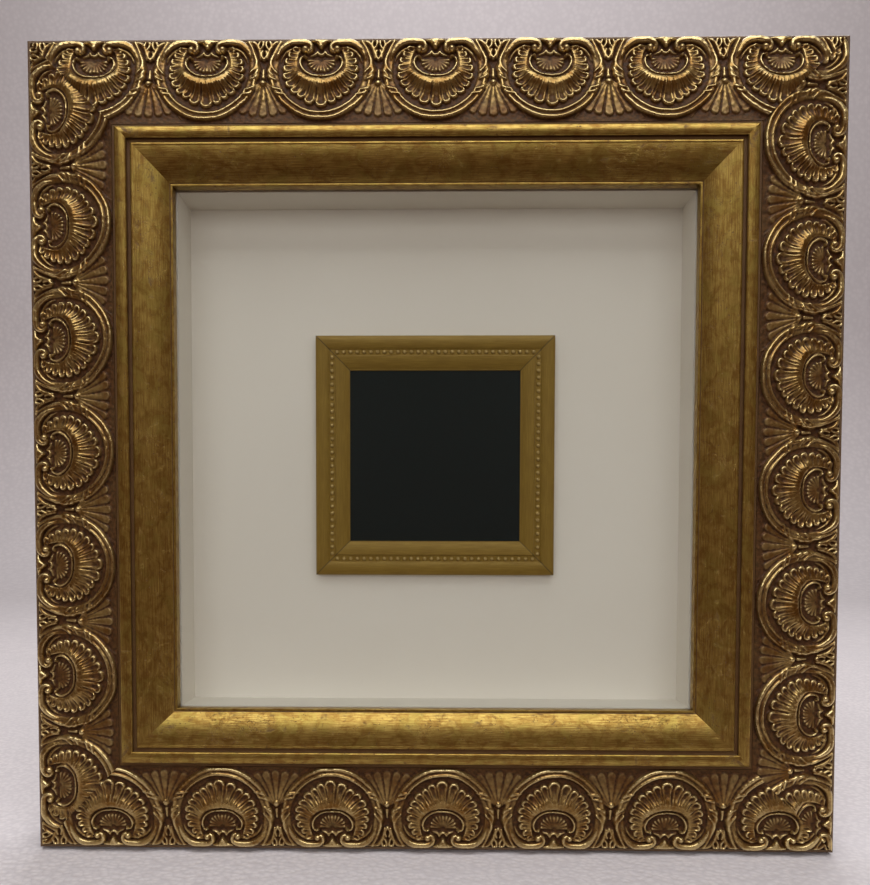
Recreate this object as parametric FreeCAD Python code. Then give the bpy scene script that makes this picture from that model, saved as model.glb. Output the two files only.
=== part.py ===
import FreeCAD, Part
import math
import os

# Gilt shadow-box display frame with a small beaded frame floated on its mat board.
# Millimetres. X runs to the right, Y runs from the front to the back, Z runs up.
# The origin is the middle of the underside: the frame stands on its bottom rail.
#
# A moulding's section is drawn as (d, h). d is the distance in from the frame's outer side, and
# h is the height towards the front, measured from the plane of the outermost front edge.

# ---- outer frame ----
OUTER = 305.0                  # outer side of the square frame
HALF = OUTER / 2
MOULDING = 55.0                # width of the moulding, outer side to sight edge
SIDE_DEPTH = 29.0              # depth of the outer side, front edge to back face
RABBET_FROM = 49.0             # d where the rabbet starts
LIP_UNDERSIDE = -1.0           # h of the face that the glass bears on
BEAD_TOP = 8.3                 # h of the highest line of the moulding

# ---- ornament channel and shells ----
CHANNEL_FROM, CHANNEL_TO = 1.2, 33.4
BAND_OUTER_H, BAND_INNER_H = -0.4, 5.4   # h of the ornament's ground at both sides of the channel
GROUND = 2.0                             # thickness of the ornament's ground
PITCH = 42.2                             # from one shell to the next
PHASE = {"top": 0.0, "right": 14.5, "bottom": -3.5, "left": -1.0}   # first shell's place on its rail
SHELLS_EACH_WAY = 4                      # shells tried on both sides of the first one
RING_AT, RING_HEIGHT = 16.2, 1.5         # every _AT is a distance in from the strip's outer edge
RING_OUTER, RING_INNER = (19.2, 16.4), (17.0, 14.2)
PETALS_AT, PETALS_HEIGHT, PETAL_TIP, PETAL_NOTCH, PETAL_LOBES = 10.5, 1.3, 16.0, 14.6, 13
PETALS_FROM, PETALS_TO = 2.0, 27.5
COLLAR_AT, COLLAR_HEIGHT = 10.0, 2.0
COLLAR_OUTER, COLLAR_INNER = (8.3, 7.2), (7.2, 6.1)
PALMETTE_AT, PALMETTE_HEIGHT, PALMETTE_TIP, PALMETTE_NOTCH, PALMETTE_LOBES = 9.5, 1.8, 5.4, 4.6, 5
VOLUTE_X, VOLUTE_AT, VOLUTE_RADIUS, VOLUTE_HEIGHT = 5.4, 4.6, 2.6, 2.2
LEAF_AT, LEAF_HEIGHT, LEAF_TIP, LEAF_NOTCH, LEAF_LOBES = 21.0, 1.2, 9.0, 8.2, 3
RELIEF_SINK = 0.2                        # how far each shell is sunk into the ground

# ---- pack of boards behind the lip ----
PACK_GAP = 0.5                 # gap round the boards in the rabbet
PACK_SIDE = OUTER - 2 * (RABBET_FROM + PACK_GAP)
GLASS, SPACER_DEPTH, MAT, FOAM, BACKING = 2.0, 17.0, 1.4, 5.0, 2.3
SPACER_WIDTH = MOULDING - RABBET_FROM - PACK_GAP

# ---- small floated frame ----
SMALL_OUTER = 94.6
SMALL_HALF = SMALL_OUTER / 2
SMALL_RAIL = 13.5
SMALL_THICK = 2.8
SMALL_RABBET = 2.0
SMALL_RABBET_DEPTH = 0.9
PANEL = 0.8
PEARL_PITCH, PEARL_RADIUS, PEARL_ROW, PEARLS = 2.68, 0.62, 6.4, 30
PEARL_GROOVE = 1.9             # thickness of the small moulding under the pearls
CARD, CARD_INSET, PANEL_GAP = 0.5, 3.0, 0.2
PAD, PAD_SIDE, PAD_AT = 0.6, 14.0, 32.0

# ---- hardware on the back ----
NAIL_LEG, NAIL_PLATE, NAIL_HEIGHT = 5.0, 0.6, 10.0
NAIL_D = (16.0, 36.0)
SCREW_SHANK, SCREW_LENGTH = 1.7, 12.0
HEAD_RADIUS, HEAD_HEIGHT, HEAD_EDGE = 3.3, 1.8, 0.8
SLOT_LENGTH, SLOT_WIDTH, SLOT_DEPTH = 4.2, 0.9, 0.9
BUTTON_D = 40.0                # d of the turn buttons' pivots
BUTTON_PLATE = 1.2
BUTTON_HUB, BUTTON_NOSE, BUTTON_REACH = 4.5, 3.2, 15.0
WASHER, WASHER_RADIUS = 0.4, 3.6
RUNNING = 0.05                 # radial running clearance
STRAP_WIDTH, STRAP_DROP, STRAP_PLATE = 10.0, 18.0, 1.0
HINGE_ABOVE_BACK = 2.45
BARREL_RADIUS = 2.15
RING_WIRE = 1.1
RING_HALF, RING_STRAIGHT, RING_CORNER = 7.0, 5.0, 1.6
HANGER_X, HANGER_Z = HALF - 24.0, 225.0
BUMPER_RADIUS, BUMPER_FACE, BUMPER_THICK = 5.0, 4.0, 2.5
BUMPER_X, BUMPER_Z = HALF - 14.0, 14.0

# ---- positions that follow ----
HARDWARE = HINGE_ABOVE_BACK + BARREL_RADIUS
DEPTH = BEAD_TOP + SIDE_DEPTH + HARDWARE
FACE_Y = -DEPTH / 2 + BEAD_TOP           # y of the plane h = 0
BACK_Y = FACE_Y + SIDE_DEPTH
TURNS = {"top": 0, "right": 90, "bottom": 180, "left": 270}

V = FreeCAD.Vector
AXIS_X, AXIS_Y = V(1, 0, 0), V(0, 1, 0)
ORIGIN = V(0, 0, 0)
FAR = 400.0


def save(node, *solids):
    """One STEP file per node; a node of like pieces is a compound of separate solids."""
    shape = solids[0] if len(solids) == 1 else Part.makeCompound(list(solids))
    shape.exportStep(f"parts/{node}.step")


def box(x, y, z):
    """A box from three (low, high) pairs."""
    lows, sizes = zip(*((low, high - low) for low, high in (x, y, z)))
    return Part.makeBox(*sizes, V(*lows))


def outline(points):
    """Closed wire through (d, h) points. A triple of points is an arc through its middle one."""
    edges = []
    at = points[0]
    for step in list(points[1:]) + [points[0]]:
        if isinstance(step[0], tuple):
            middle, end = step
            edges.append(Part.Arc(section(at), section(middle), section(end)).toShape())
            at = end
        else:
            edges.append(Part.LineSegment(section(at), section(step)).toShape())
            at = step
    return Part.Wire(edges)


def section(point):
    """A section's (d, h) in the plane x = 0, with the outer side at z = 0."""
    d, h = point
    return V(0, -h, -d)


def sector(half, reach):
    """The wedge of a square frame that belongs to its top rail: the mitres are its slanted sides."""
    corners = [V(-half, -FAR, half), V(half, -FAR, half)]
    corners += [V(half - reach, -FAR, half - reach), V(reach - half, -FAR, half - reach)]
    face = Part.Face(Part.makePolygon(corners + corners[:1]))
    return face.extrude(V(0, 2 * FAR, 0))


def mitred(points, half, width):
    """A top rail of this section, cut at 45 degrees at both ends, about the frame's centre."""
    bar = Part.Face(outline(points)).extrude(V(2 * half, 0, 0))
    bar.translate(V(-half, 0, half))
    return bar.common(sector(half, width + 1.0)).Solids[0]


def about_centre(shape, side, y):
    """Turns a top rail to its side of the frame and puts it in place, with h = 0 at that y."""
    turned = shape.copy()
    turned.rotate(ORIGIN, AXIS_Y, TURNS[side])
    turned.translate(V(0, y, HALF))
    return turned


def moulding_section():
    """Rim, ornament channel, groove, bead, groove, lip fillet, rounded slope, sight edge, rabbet."""
    back = -SIDE_DEPTH
    return [
        (0.0, back),
        (0.0, -0.5),
        (0.5, 0.0),
        (CHANNEL_FROM, 0.0),
        (CHANNEL_FROM, BAND_OUTER_H - GROUND),
        (CHANNEL_TO, BAND_INNER_H - GROUND),
        (CHANNEL_TO, 5.2),
        (34.9, 5.2),
        (34.9, 7.5),
        ((35.134, 8.066), (35.7, BEAD_TOP)),
        ((37.78, 7.797), (39.4, 6.4)),
        (39.4, 5.6),
        (40.7, 5.6),
        (40.7, 6.8),
        ((41.2, 7.25), (41.9, 7.2)),
        ((48.6, 5.95), (54.1, 2.5)),
        (54.1, 2.9),
        (54.9, 2.9),
        (MOULDING, 2.7),
        (MOULDING, LIP_UNDERSIDE),
        (RABBET_FROM, LIP_UNDERSIDE),
        (RABBET_FROM, back),
    ]


def rails(pockets):
    """The four mitred lengths of moulding, with the holes that nails and screws make in them."""
    blank = mitred(moulding_section(), HALF, MOULDING)
    for side in TURNS:
        rail = about_centre(blank, side, FACE_Y)
        save(f"{side}_rail", rail.cut(pockets).Solids[0])


def ring_plate(long_radius, short_radius, height):
    """An upright elliptical disc standing on the ornament's ground, at the local origin."""
    wide = Part.Ellipse(ORIGIN, long_radius, short_radius)
    return Part.Face(Part.Wire(wide.toShape())).extrude(V(0, 0, height))


def fan(outer, inner, lobes, height, start, end):
    """A scalloped fan: lobes of two radii between two angles, about the local origin."""
    steps = 2 * lobes
    points = [ORIGIN]
    for i in range(steps + 1):
        angle = math.radians(start + (end - start) * i / steps)
        radius = outer if i % 2 else inner
        points.append(V(radius * math.cos(angle), radius * math.sin(angle), 0))
    return Part.Face(Part.makePolygon(points + points[:1])).extrude(V(0, 0, height))


def band(outer, inner, height):
    """An upright elliptical ring between two (long, short) pairs of radii, at the local origin."""
    return ring_plate(*outer, height).cut(ring_plate(*inner, height))


def shell():
    """One shell cartouche: ring, fluted fan, collar, palmette, two volutes and the leaf beside it.
    Local y runs inward and local z is the height above the ground."""
    ring = band(RING_OUTER, RING_INNER, RING_HEIGHT)
    ring.translate(V(0, RING_AT, 0))
    petals = fan(PETAL_TIP, PETAL_NOTCH, PETAL_LOBES, PETALS_HEIGHT, -15, 195)
    petals.translate(V(0, PETALS_AT, 0))
    across = (-PETAL_TIP, PETAL_TIP)
    petals = petals.common(box(across, (PETALS_FROM, PETALS_TO), (0, PETALS_HEIGHT)))
    collar = band(COLLAR_OUTER, COLLAR_INNER, COLLAR_HEIGHT)
    reach = COLLAR_OUTER[0]
    collar = collar.common(box((-reach, reach), (-1, reach), (0, COLLAR_HEIGHT)))
    collar.translate(V(0, COLLAR_AT, 0))
    palmette = fan(PALMETTE_TIP, PALMETTE_NOTCH, PALMETTE_LOBES, PALMETTE_HEIGHT, 0, 180)
    palmette.translate(V(0, PALMETTE_AT, 0))
    volutes = []
    for side in (-1, 1):
        centre = V(side * VOLUTE_X, VOLUTE_AT, 0)
        volutes.append(Part.makeCylinder(VOLUTE_RADIUS, VOLUTE_HEIGHT, centre))
    leaf = fan(LEAF_TIP, LEAF_NOTCH, LEAF_LOBES, LEAF_HEIGHT, 58, 122)
    leaf.translate(V(PITCH / 2, LEAF_AT, 0))
    return ring.multiFuse([petals, collar, palmette, leaf] + volutes)


def ornament_strips():
    """The pressed shell ornament, one strip lying in each rail's channel."""
    floor = [
        (CHANNEL_FROM, BAND_OUTER_H - GROUND),
        (CHANNEL_FROM, BAND_OUTER_H),
        (CHANNEL_TO, BAND_INNER_H),
        (CHANNEL_TO, BAND_INNER_H - GROUND),
    ]
    ground = mitred(floor, HALF, CHANNEL_TO)
    room = [
        (CHANNEL_FROM, BAND_OUTER_H - GROUND),
        (CHANNEL_FROM, BEAD_TOP),
        (CHANNEL_TO, BEAD_TOP),
        (CHANNEL_TO, BAND_INNER_H - GROUND),
    ]
    limits = mitred(room, HALF, CHANNEL_TO)
    rise = math.atan2(BAND_INNER_H - BAND_OUTER_H, CHANNEL_TO - CHANNEL_FROM)
    inward = V(0, -math.sin(rise), -math.cos(rise))
    outward = V(0, -math.cos(rise), math.sin(rise))
    start = V(0, -BAND_OUTER_H, HALF - CHANNEL_FROM) - outward * RELIEF_SINK
    unit = shell()
    for side, phase in PHASE.items():
        relief = []
        for k in range(-SHELLS_EACH_WAY, SHELLS_EACH_WAY + 1):
            along = phase + k * PITCH
            if abs(along) > HALF + PITCH / 2:
                continue
            at = start + V(along, 0, 0)
            columns = zip((-1, 0, 0), inward, outward, at)
            matrix = FreeCAD.Matrix(*[n for row in columns for n in row], 0, 0, 0, 1)
            placed = unit.copy()
            placed.Placement = FreeCAD.Placement(matrix)
            relief.append(placed)
        strip = ground.multiFuse([r.common(limits) for r in relief]).removeSplitter()
        save(f"{side}_ornament", about_centre(strip.Solids[0], side, FACE_Y))


def v_nails():
    """Two V-shaped steel nails across each mitre, driven in from the back."""
    arm = NAIL_LEG
    step = NAIL_PLATE
    points = [(0, 0), (arm, 0), (arm, step), (step, step), (step, arm), (0, arm)]
    flat = Part.Face(Part.makePolygon([V(x, 0, z) for x, z in points + points[:1]]))
    nail = flat.extrude(V(0, -NAIL_HEIGHT, 0))
    nails = []
    for corner in range(4):
        for d in NAIL_D:
            one = nail.copy()
            one.rotate(ORIGIN, AXIS_Y, 180)
            one.translate(V(HALF - d, 0, HALF - d))
            one.rotate(ORIGIN, AXIS_Y, 90 * corner)
            one.translate(V(0, BACK_Y, HALF))
            nails.append(one)
    return nails


def screw(x, z, under_head):
    """A pan-head screw whose head bears at under_head above the back face."""
    y = BACK_Y + under_head
    shank = Part.makeCylinder(SCREW_SHANK, SCREW_LENGTH + under_head, V(x, y, z), V(0, -1, 0))
    head = Part.makeCylinder(HEAD_RADIUS, HEAD_HEIGHT, V(x, y, z), AXIS_Y)
    rim = [edge for edge in head.Edges if edge.CenterOfMass.y > y + 0.9 * HEAD_HEIGHT]
    rounded = head.makeFillet(HEAD_EDGE, rim)
    top = (y + HEAD_HEIGHT - SLOT_DEPTH, y + HEAD_HEIGHT)
    half_long, half_wide = SLOT_LENGTH / 2, SLOT_WIDTH / 2
    slot = box((x - half_long, x + half_long), top, (z - half_wide, z + half_wide))
    cross = box((x - half_wide, x + half_wide), top, (z - half_long, z + half_long))
    return rounded.fuse(shank).cut(slot).cut(cross).Solids[0]


def glass_pack():
    """Glass, white spacers, mat board, foam board and backing board, front to back."""
    half = PACK_SIDE / 2
    whole = (-half, half)
    upright = (HALF - half, HALF + half)
    y = FACE_Y - LIP_UNDERSIDE
    save("glazing", box(whole, (y, y + GLASS), upright))
    y += GLASS
    deep = (y, y + SPACER_DEPTH)
    low = (upright[0], upright[0] + SPACER_WIDTH)
    high = (upright[1] - SPACER_WIDTH, upright[1])
    save("top_spacer", box(whole, deep, high))
    save("bottom_spacer", box(whole, deep, low))
    between = (low[1], high[0])
    save("left_spacer", box((-half, SPACER_WIDTH - half), deep, between))
    save("right_spacer", box((half - SPACER_WIDTH, half), deep, between))
    y += SPACER_DEPTH
    mat_face = y
    for node, thick in (("mat_board", MAT), ("foam_board", FOAM), ("backing_board", BACKING)):
        save(node, box(whole, (y, y + thick), upright))
        y += thick
    return mat_face


def small_section():
    """Side, cushion, pearl groove, arris, slope and sight of the small moulding, with its rabbet."""
    return [
        (0.0, 0.0),
        (0.0, 2.2),
        ((2.6, SMALL_THICK), (5.2, 2.2)),
        (5.4, PEARL_GROOVE),
        (7.8, PEARL_GROOVE),
        (8.0, 2.5),
        ((10.9, 2.1), (13.1, 1.3)),
        (SMALL_RAIL, 1.3),
        (SMALL_RAIL, SMALL_RABBET_DEPTH),
        (SMALL_RAIL - SMALL_RABBET, SMALL_RABBET_DEPTH),
        (SMALL_RAIL - SMALL_RABBET, 0.0),
    ]


def small_frame(mat_face):
    """The small beaded frame, its black panel, its backing card and the pads that float it."""
    pads_front = mat_face - PAD
    card_front = pads_front - CARD
    blank = mitred(small_section(), SMALL_HALF, SMALL_RAIL)
    pearls = []
    for k in range(PEARLS):
        along = (k - (PEARLS - 1) / 2) * PEARL_PITCH
        centre = V(along, -PEARL_GROOVE, SMALL_HALF - PEARL_ROW)
        pearls.append(Part.makeSphere(PEARL_RADIUS, centre))
    beaded = blank.multiFuse(pearls).common(sector(SMALL_HALF, SMALL_RAIL + 1.0)).Solids[0]
    for side in TURNS:
        save(f"small_{side}_rail", about_centre(beaded, side, card_front))
    half = SMALL_HALF - SMALL_RAIL + SMALL_RABBET - PANEL_GAP
    deep = (card_front - PANEL, card_front)
    save("centre_panel", box((-half, half), deep, (HALF - half, HALF + half)))
    half = SMALL_HALF - CARD_INSET
    save("backing_card", box((-half, half), (card_front, pads_front), (HALF - half, HALF + half)))
    pads = []
    reach = PAD_SIDE / 2
    for x in (-PAD_AT, PAD_AT):
        for z in (HALF - PAD_AT, HALF + PAD_AT):
            span = (pads_front, mat_face)
            pads.append(box((x - reach, x + reach), span, (z - reach, z + reach)))
    save("float_pads", *pads)


def turn_button():
    """A steel turn button about the local origin, its nose towards -z, lying on the plane y = 0."""
    hub = Part.makeCylinder(BUTTON_HUB, BUTTON_PLATE, ORIGIN, AXIS_Y)
    nose = Part.makeCylinder(BUTTON_NOSE, BUTTON_PLATE, V(0, 0, -BUTTON_REACH), AXIS_Y)
    lean = math.asin((BUTTON_HUB - BUTTON_NOSE) / BUTTON_REACH)
    corners = []
    for radius, z in ((BUTTON_HUB, 0.0), (BUTTON_NOSE, -BUTTON_REACH)):
        corners.append((radius * math.cos(lean), z - radius * math.sin(lean)))
    (x0, z0), (x1, z1) = corners
    loop = [V(-x0, 0, z0), V(x0, 0, z0), V(x1, 0, z1), V(-x1, 0, z1), V(-x0, 0, z0)]
    web = Part.Face(Part.makePolygon(loop)).extrude(V(0, BUTTON_PLATE, 0))
    bore = Part.makeCylinder(SCREW_SHANK + RUNNING, BUTTON_PLATE, ORIGIN, AXIS_Y)
    return hub.multiFuse([nose, web]).removeSplitter().cut(bore).Solids[0]


def turn_buttons():
    """One turn button on each rail, its washer and its screw. Returns the screws."""
    button = turn_button()
    ring = Part.makeCylinder(WASHER_RADIUS, WASHER, ORIGIN, AXIS_Y)
    washer = ring.cut(Part.makeCylinder(SCREW_SHANK, WASHER, ORIGIN, AXIS_Y))
    washers, screws = [], []
    for side, turn in TURNS.items():
        at = V(0, 0, HALF - BUTTON_D)
        placed = button.copy()
        placed.translate(at + V(0, WASHER, 0))
        save(f"{side}_turn_button", about_centre(placed, side, BACK_Y))
        placed = washer.copy()
        placed.translate(at)
        washers.append(about_centre(placed, side, BACK_Y))
        angle = math.radians(turn)
        x, z = at.z * math.sin(angle), at.z * math.cos(angle)
        screws.append(screw(x, HALF + z, WASHER + BUTTON_PLATE + RUNNING))
    save("turn_button_washers", *washers)
    save("turn_button_screws", *screws)
    return screws


def hanger_ring(x):
    """The D-ring of bent wire, hanging down from its straight bar."""
    y, z = BACK_Y + HINGE_ABOVE_BACK, HANGER_Z
    wide, corner = RING_HALF, RING_CORNER
    inner = wide - corner
    bend = corner * (1 - math.sqrt(0.5))
    low = -RING_STRAIGHT

    def at(dx, dz):
        return V(x + dx, y, z + dz)

    path = [
        Part.LineSegment(at(0, 0), at(inner, 0)),
        Part.Arc(at(inner, 0), at(wide - bend, -bend), at(wide, -corner)),
        Part.LineSegment(at(wide, -corner), at(wide, low)),
        Part.Arc(at(wide, low), at(0, low - wide), at(-wide, low)),
        Part.LineSegment(at(-wide, low), at(-wide, -corner)),
        Part.Arc(at(-wide, -corner), at(bend - wide, -bend), at(-inner, 0)),
        Part.LineSegment(at(-inner, 0), at(0, 0)),
    ]
    wire = Part.Wire([p.toShape() for p in path])
    round_wire = Part.Wire(Part.Circle(at(0, 0), AXIS_X, RING_WIRE).toShape())
    return wire.makePipeShell([round_wire], True, False)


def hanger_strap(x):
    """The strap that is rolled round the ring's bar and screwed to the rail below it."""
    y, z = BACK_Y, HANGER_Z
    half = STRAP_WIDTH / 2
    plate = box((x - half, x + half), (y, y + STRAP_PLATE), (z - STRAP_DROP, z))
    end = Part.makeCylinder(half, STRAP_PLATE, V(x, y, z - STRAP_DROP), AXIS_Y)
    start = V(x - half, y + HINGE_ABOVE_BACK, z)
    barrel = Part.makeCylinder(BARREL_RADIUS, STRAP_WIDTH, start, AXIS_X)
    bore = Part.makeCylinder(RING_WIRE + RUNNING, STRAP_WIDTH, start, AXIS_X)
    hole = Part.makeCylinder(SCREW_SHANK, STRAP_PLATE, V(x, y, z - STRAP_DROP), AXIS_Y)
    return plate.multiFuse([end, barrel]).removeSplitter().cut(bore).cut(hole).Solids[0]


def hangers():
    """A strap hanger with its D-ring on each upright rail. Returns their screws."""
    screws = []
    for name, x in (("left", -HANGER_X), ("right", HANGER_X)):
        save(f"{name}_hanger_strap", hanger_strap(x))
        save(f"{name}_hanger_ring", hanger_ring(x))
        screws.append(screw(x, HANGER_Z - STRAP_DROP, STRAP_PLATE))
    save("hanger_screws", *screws)
    return screws


def bumpers():
    """Two rubber bumpers that keep the foot of the frame off a wall."""
    cone = []
    for x in (-BUMPER_X, BUMPER_X):
        at = V(x, BACK_Y, BUMPER_Z)
        cone.append(Part.makeCone(BUMPER_RADIUS, BUMPER_FACE, BUMPER_THICK, at, AXIS_Y))
    save("wall_bumpers", *cone)


def main():
    os.makedirs("parts", exist_ok=True)
    nails = v_nails()
    save("corner_v_nails", *nails)
    screws = turn_buttons() + hangers()
    rails(Part.makeCompound(nails + screws))
    ornament_strips()
    small_frame(glass_pack())
    bumpers()


main()
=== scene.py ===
import math

import bpy
import numpy as np
from mathutils import Matrix, Vector


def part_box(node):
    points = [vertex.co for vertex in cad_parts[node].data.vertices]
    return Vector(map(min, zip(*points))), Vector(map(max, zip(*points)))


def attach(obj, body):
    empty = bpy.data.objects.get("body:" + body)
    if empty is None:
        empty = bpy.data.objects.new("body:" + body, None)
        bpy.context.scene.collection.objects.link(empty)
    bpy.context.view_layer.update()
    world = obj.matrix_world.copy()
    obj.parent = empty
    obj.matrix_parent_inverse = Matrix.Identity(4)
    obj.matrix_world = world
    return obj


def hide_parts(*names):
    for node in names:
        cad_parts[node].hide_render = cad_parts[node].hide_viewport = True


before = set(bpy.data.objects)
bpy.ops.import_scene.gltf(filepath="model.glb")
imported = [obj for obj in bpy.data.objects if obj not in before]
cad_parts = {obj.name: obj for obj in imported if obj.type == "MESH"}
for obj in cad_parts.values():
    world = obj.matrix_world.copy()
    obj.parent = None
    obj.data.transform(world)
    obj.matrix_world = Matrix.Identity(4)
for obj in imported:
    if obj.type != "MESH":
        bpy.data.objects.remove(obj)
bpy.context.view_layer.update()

# Gilt shadow-box frame with pressed shell ornament and a small beaded frame floated on its mat.
# A moulding is drawn as (d, h): d is the distance in from the frame's outer side, and h is the
# height towards the front from the plane of the outermost front edge. Both are in millimetres.
# Meshes are built in metres, in the CAD's own frame.

MM = 0.001
SIDES = {"top": 0.0, "right": 90.0, "bottom": 180.0, "left": 270.0}

# ---- sizes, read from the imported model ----
rail_low, rail_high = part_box("top_rail")
HALF = rail_high.x / MM
CENTRE_Z = rail_high.z - HALF * MM
BEAD_TOP = 8.3                                # height of the bead, the moulding's highest line
FACE_Y = rail_low.y + BEAD_TOP * MM
BACK_H = -(rail_high.y - FACE_Y) / MM
SIGHT_D = (rail_high.z - rail_low.z) / MM
strip_low, strip_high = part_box("top_ornament")
CHANNEL_FROM = (rail_high.z - strip_high.z) / MM
CHANNEL_TO = (rail_high.z - strip_low.z) / MM
STRIP_FLOOR = -(strip_high.y - FACE_Y) / MM
BAND_OUTER_H, BAND_INNER_H = -0.4, 5.4        # the ornament's ground at both sides of its channel
BEAD_FROM, BEAD_TO, FILLET = 34.9, 39.4, 40.7     # d of the bead's two sides and of the fillet after it
RABBET_D, RABBET_H = 49.0, -1.0               # the rabbet's wall and its seat
GROUND = BAND_OUTER_H - STRIP_FLOOR
PITCH = 42.2                                  # from one shell to the next
# where a shell's middle falls along each rail, and how much wider the relief is drawn across it
PHASE = {"top": 0.0, "right": 14.5, "bottom": -3.5, "left": -1.0}
STRETCH = {"top": 1.012, "right": 1.025, "bottom": 1.042, "left": 1.025}
small_low, small_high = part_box("small_top_rail")
SMALL_HALF = small_high.x / MM
SMALL_RAIL = (small_high.z - small_low.z) / MM
SMALL_BACK_Y = small_high.y


# ---- mesh helpers ----

GILT, WOOD, PAINT = range(3)                  # places in a bar's list of materials


def place(side, s, d, h, half=HALF, front_y=FACE_Y):
    """(s along a rail, d inward, h forward) in millimetres to points in metres, on that side."""
    turn = math.radians(SIDES[side])
    reach = half - d
    x = s * math.cos(turn) + reach * math.sin(turn)
    z = -s * math.sin(turn) + reach * math.cos(turn)
    return np.stack([x * MM, front_y - h * MM, CENTRE_Z + z * MM], axis=-1)


def build_mesh(name, points, faces, materials, face_material=None, fields=None, crease=40.0):
    """A smooth mesh object from points in metres, faces as lists of point numbers, and point fields."""
    mesh = bpy.data.meshes.new(name)
    loops = np.concatenate([np.asarray(face, np.int32) for face in faces])
    sizes = np.array([len(face) for face in faces], np.int32)
    starts = np.concatenate([[0], np.cumsum(sizes)[:-1]]).astype(np.int32)
    mesh.vertices.add(len(points))
    mesh.vertices.foreach_set("co", np.asarray(points, np.float32).ravel())
    mesh.loops.add(len(loops))
    mesh.loops.foreach_set("vertex_index", loops)
    mesh.polygons.add(len(sizes))
    mesh.polygons.foreach_set("loop_start", starts)
    if face_material is not None:
        mesh.polygons.foreach_set("material_index", np.asarray(face_material, np.int32))
    mesh.update(calc_edges=True)
    mesh.validate()
    for key, values in (fields or {}).items():
        values = np.asarray(values, np.float32)
        kind = "FLOAT_VECTOR" if values.ndim == 2 else "FLOAT"
        attribute = mesh.attributes.new(key, kind, "POINT")
        attribute.data.foreach_set("vector" if values.ndim == 2 else "value", values.ravel())
    mesh.shade_smooth()
    mesh.set_sharp_from_angle(angle=math.radians(crease))
    for material in materials:
        mesh.materials.append(material)
    obj = bpy.data.objects.new(name, mesh)
    bpy.context.scene.collection.objects.link(obj)
    return obj


def sweep(name, side, d, h, t, half, front_y, materials, ring_material=None, fields=None, crease=40.0):
    """A mitred bar: the closed section (d, h), with h for every column, at each t from -1 to 1."""
    columns, ring = len(t), len(d)
    h = np.broadcast_to(h, (columns, ring))
    s = t[:, None] * (half - d[None, :])
    points = place(side, s, np.broadcast_to(d, s.shape), h, half, front_y).reshape(-1, 3)
    i = np.arange(columns - 1)[:, None]
    k = np.arange(ring)[None, :]
    after = (k + 1) % ring
    quads = np.stack([i * ring + k, (i + 1) * ring + k, (i + 1) * ring + after, i * ring + after], -1)
    ends = [range(ring), range(columns * ring - 1, (columns - 1) * ring - 1, -1)]
    faces = quads.reshape(-1, 4).tolist() + [list(end) for end in ends]
    kinds = None
    if ring_material is not None:
        kinds = np.concatenate([np.tile(ring_material, columns - 1), [WOOD, WOOD]])
    along = np.concatenate([np.zeros(1), np.cumsum(np.hypot(np.diff(d), np.diff(h[columns // 2])))])
    data = {"rail": np.stack([s.ravel() * MM, np.tile(along, columns) * MM, np.zeros(s.size)], 1)}
    for key, values in (fields or {}).items():
        data[key] = np.broadcast_to(values, (columns, ring)).ravel()
    return build_mesh(name, points, faces, materials, kinds, data, crease)


def arc(start, middle, end, count):
    """Points on the circle through three points, without the start."""
    (ax, ay), (bx, by), (cx, cy) = start, middle, end
    e = 2 * (ax * (by - cy) + bx * (cy - ay) + cx * (ay - by))
    sa, sb, sc = ax * ax + ay * ay, bx * bx + by * by, cx * cx + cy * cy
    ux = (sa * (by - cy) + sb * (cy - ay) + sc * (ay - by)) / e
    uy = (sa * (cx - bx) + sb * (ax - cx) + sc * (bx - ax)) / e
    radius = math.hypot(ax - ux, ay - uy)
    first = math.atan2(ay - uy, ax - ux)
    last = math.atan2(cy - uy, cx - ux)
    swing = (last - first + math.pi) % (2 * math.pi) - math.pi
    angles = [first + swing * i / count for i in range(1, count + 1)]
    return [(ux + radius * math.cos(a), uy + radius * math.sin(a)) for a in angles]


def outline(steps, count):
    """A section's corners, with each (middle, end) pair turned into an arc."""
    points = [steps[0]]
    for step in steps[1:]:
        if isinstance(step[0], tuple):
            points += arc(points[-1], step[0], step[1], count)
        else:
            points.append(step)
    return points


def soften(points, radius, longest):
    """Rounds the corners of a closed outline, and divides its runs so that none is over the longest."""
    gentle = 20           # degrees; a bend below this keeps its corner
    rounded = []
    n = len(points)
    for i in range(n):
        before, here, after = (np.array(points[(i + j) % n], float) for j in (-1, 0, 1))
        back, on = before - here, after - here
        lb, lo = np.linalg.norm(back), np.linalg.norm(on)
        turn = math.degrees(math.acos(np.clip(-(back @ on) / (lb * lo), -1, 1)))
        if turn < gentle:
            rounded.append(here)
            continue
        start = here + back / lb * min(radius, 0.4 * lb)
        end = here + on / lo * min(radius, 0.4 * lo)
        for f in (0.0, 0.33, 0.67, 1.0):
            rounded.append((1 - f) ** 2 * start + 2 * f * (1 - f) * here + f * f * end)
    divided = []
    for i, here in enumerate(rounded):
        after = rounded[(i + 1) % len(rounded)]
        pieces = max(1, math.ceil(np.linalg.norm(after - here) / longest))
        for j in range(pieces):
            divided.append(here + (after - here) * j / pieces)
    return np.array(divided)


def ripple(seed, x, y, wavelengths, count=10):
    """Smooth irregular values of about -1 to 1 over x and y, the same on every run."""
    rng = np.random.default_rng(seed)
    total = np.zeros(np.broadcast(x, y).shape)
    for _ in range(count):
        length = rng.uniform(*wavelengths)
        heading = rng.uniform(0, 2 * math.pi)
        phase = rng.uniform(0, 2 * math.pi)
        total = total + np.sin(2 * math.pi / length * (x * math.cos(heading) + y * math.sin(heading)) + phase)
    return total / math.sqrt(count)


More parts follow.
